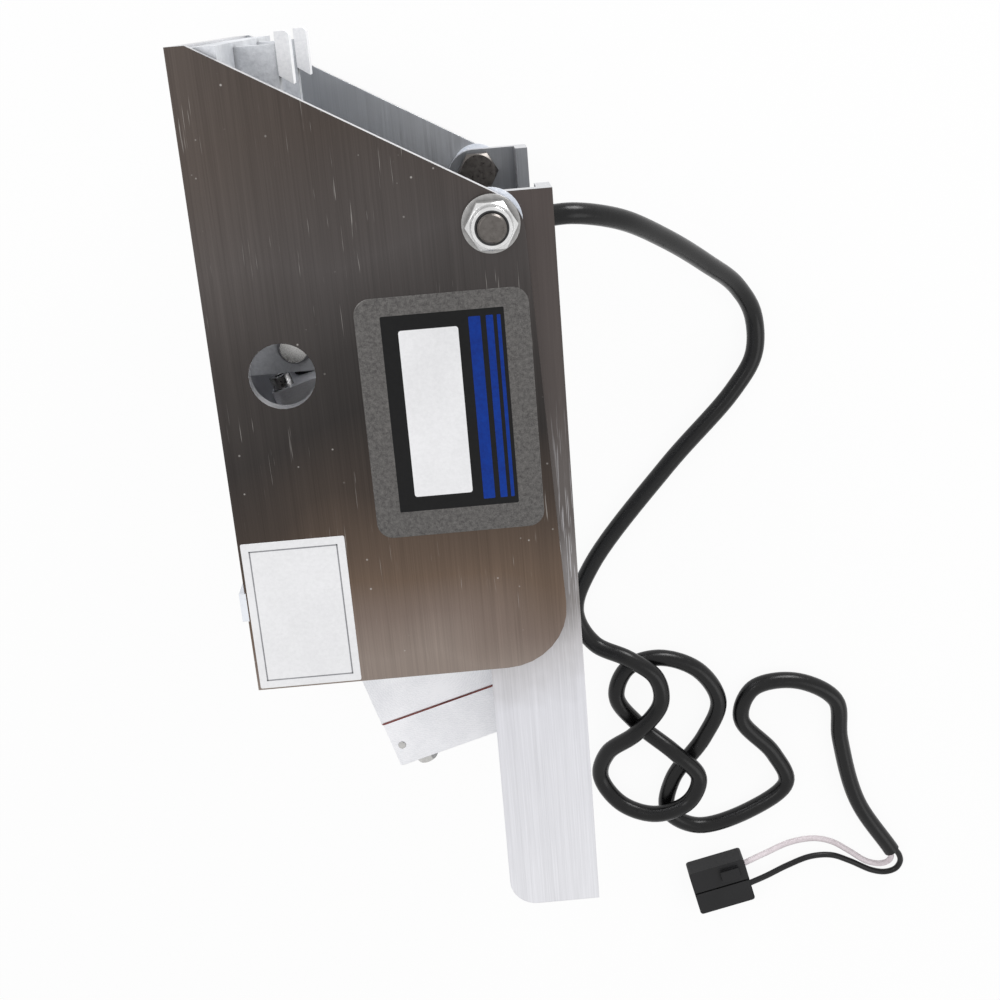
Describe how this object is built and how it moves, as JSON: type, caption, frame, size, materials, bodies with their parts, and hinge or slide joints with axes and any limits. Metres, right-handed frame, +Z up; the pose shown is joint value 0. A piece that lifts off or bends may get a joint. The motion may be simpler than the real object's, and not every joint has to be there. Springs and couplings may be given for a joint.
{
  "type": "power trim and tilt unit",
  "caption": "Outboard trim and tilt unit: a motor bracket hinged on a transom bracket and tilted by a hydraulic ram, with a power cable and connector.",
  "frame": {"origin": "centre of the underside of the box round the unit without its cable, as the unit lies on its side on a table", "axes": "+Z up and along the hinge axis; +X towards the boat's transom; +Y to the top of the unit as it is mounted on a boat"},
  "size_m": [0.3668, 0.5719, 0.2424],
  "materials": {
    "bracket_alloy": "bright sawn and rolled aluminium with scratches",
    "brushed_plate": "brushed aluminium plate, fine lines up the unit",
    "cast_alloy": "blasted cast aluminium",
    "milled_alloy": "milled aluminium with tool marks",
    "stainless": "bright stainless steel",
    "chrome_rod": "hard chromed rod",
    "spring_steel": "plain spring steel",
    "bronze": "sintered bronze",
    "tinned_brass": "tinned brass",
    "nylon": "white nylon",
    "gasket": "red-brown gasket sheet",
    "black_rubber": "black rubber",
    "painted_can": "black painted steel can",
    "cable_jacket": "glossy black cable jacket",
    "white_insulation": "white lead insulation",
    "black_insulation": "black lead insulation",
    "connector_plastic": "matte black moulded plastic"
  },
  "bodies": {
    "transom_side": {"transom_bracket": "bracket_alloy", "trunnion_lugs": "bracket_alloy", "trunnion_bushes": "bronze", "hinge_bolts": "stainless", "hinge_nuts": "stainless", "hinge_washers": "stainless", "nylon_washers": "nylon", "edge_grommet": "black_rubber", "inner_cable": "cable_jacket", "power_cable": "cable_jacket", "white_lead": "white_insulation", "black_lead": "black_insulation", "connector_housing": "connector_plastic", "blade_terminals": "tinned_brass"},
    "motor_side": {"motor_bracket": "brushed_plate", "backing_plate": "cast_alloy", "pin_saddle": "cast_alloy", "clamp_pads": "nylon", "rub_strip": "nylon", "web_screws": "stainless", "pivot_pin": "stainless", "pin_clips": "spring_steel", "pin_spacers": "nylon"},
    "actuator": {"valve_block": "milled_alloy", "gland_cap": "milled_alloy", "cap_screws": "stainless", "rod_wiper": "black_rubber", "rod_seal": "black_rubber", "end_gasket": "gasket", "end_cap": "milled_alloy", "end_cap_bolts": "stainless", "cap_plug": "stainless", "trunnion_pins": "stainless", "pump_motor": "painted_can", "pump_end_cap": "cast_alloy", "pump_screws": "stainless", "cable_gland": "connector_plastic"},
    "ram": {"ram": "chrome_rod", "piston": "milled_alloy", "piston_seal": "black_rubber", "rod_eye": "stainless"}
  },
  "joints": [
    {"name": "tilt", "type": "hinge", "parent": "transom_side", "child": "motor_side", "pos_m": [0.0485, 0.125, 0.1212], "axis": [0, 0, -1], "range_deg": [0, 60]},
    {"name": "actuator_swing", "type": "hinge", "parent": "transom_side", "child": "actuator", "pos_m": [-0.01042, -0.04635, 0.1212], "axis": [0, 0, -1], "range_deg": [0, 5], "deforming": ["inner_cable"]},
    {"name": "ram_slide", "type": "slide", "parent": "actuator", "child": "ram", "axis": [-0.2756, 0.9613, 0], "range_m": [0, 0.108]}
  ],
  "couplings": [
    {"joint": "actuator_swing", "follows": "tilt", "ratio": 0.08138},
    {"joint": "ram_slide", "follows": "tilt", "m_per_rad": 0.10287}
  ]
}
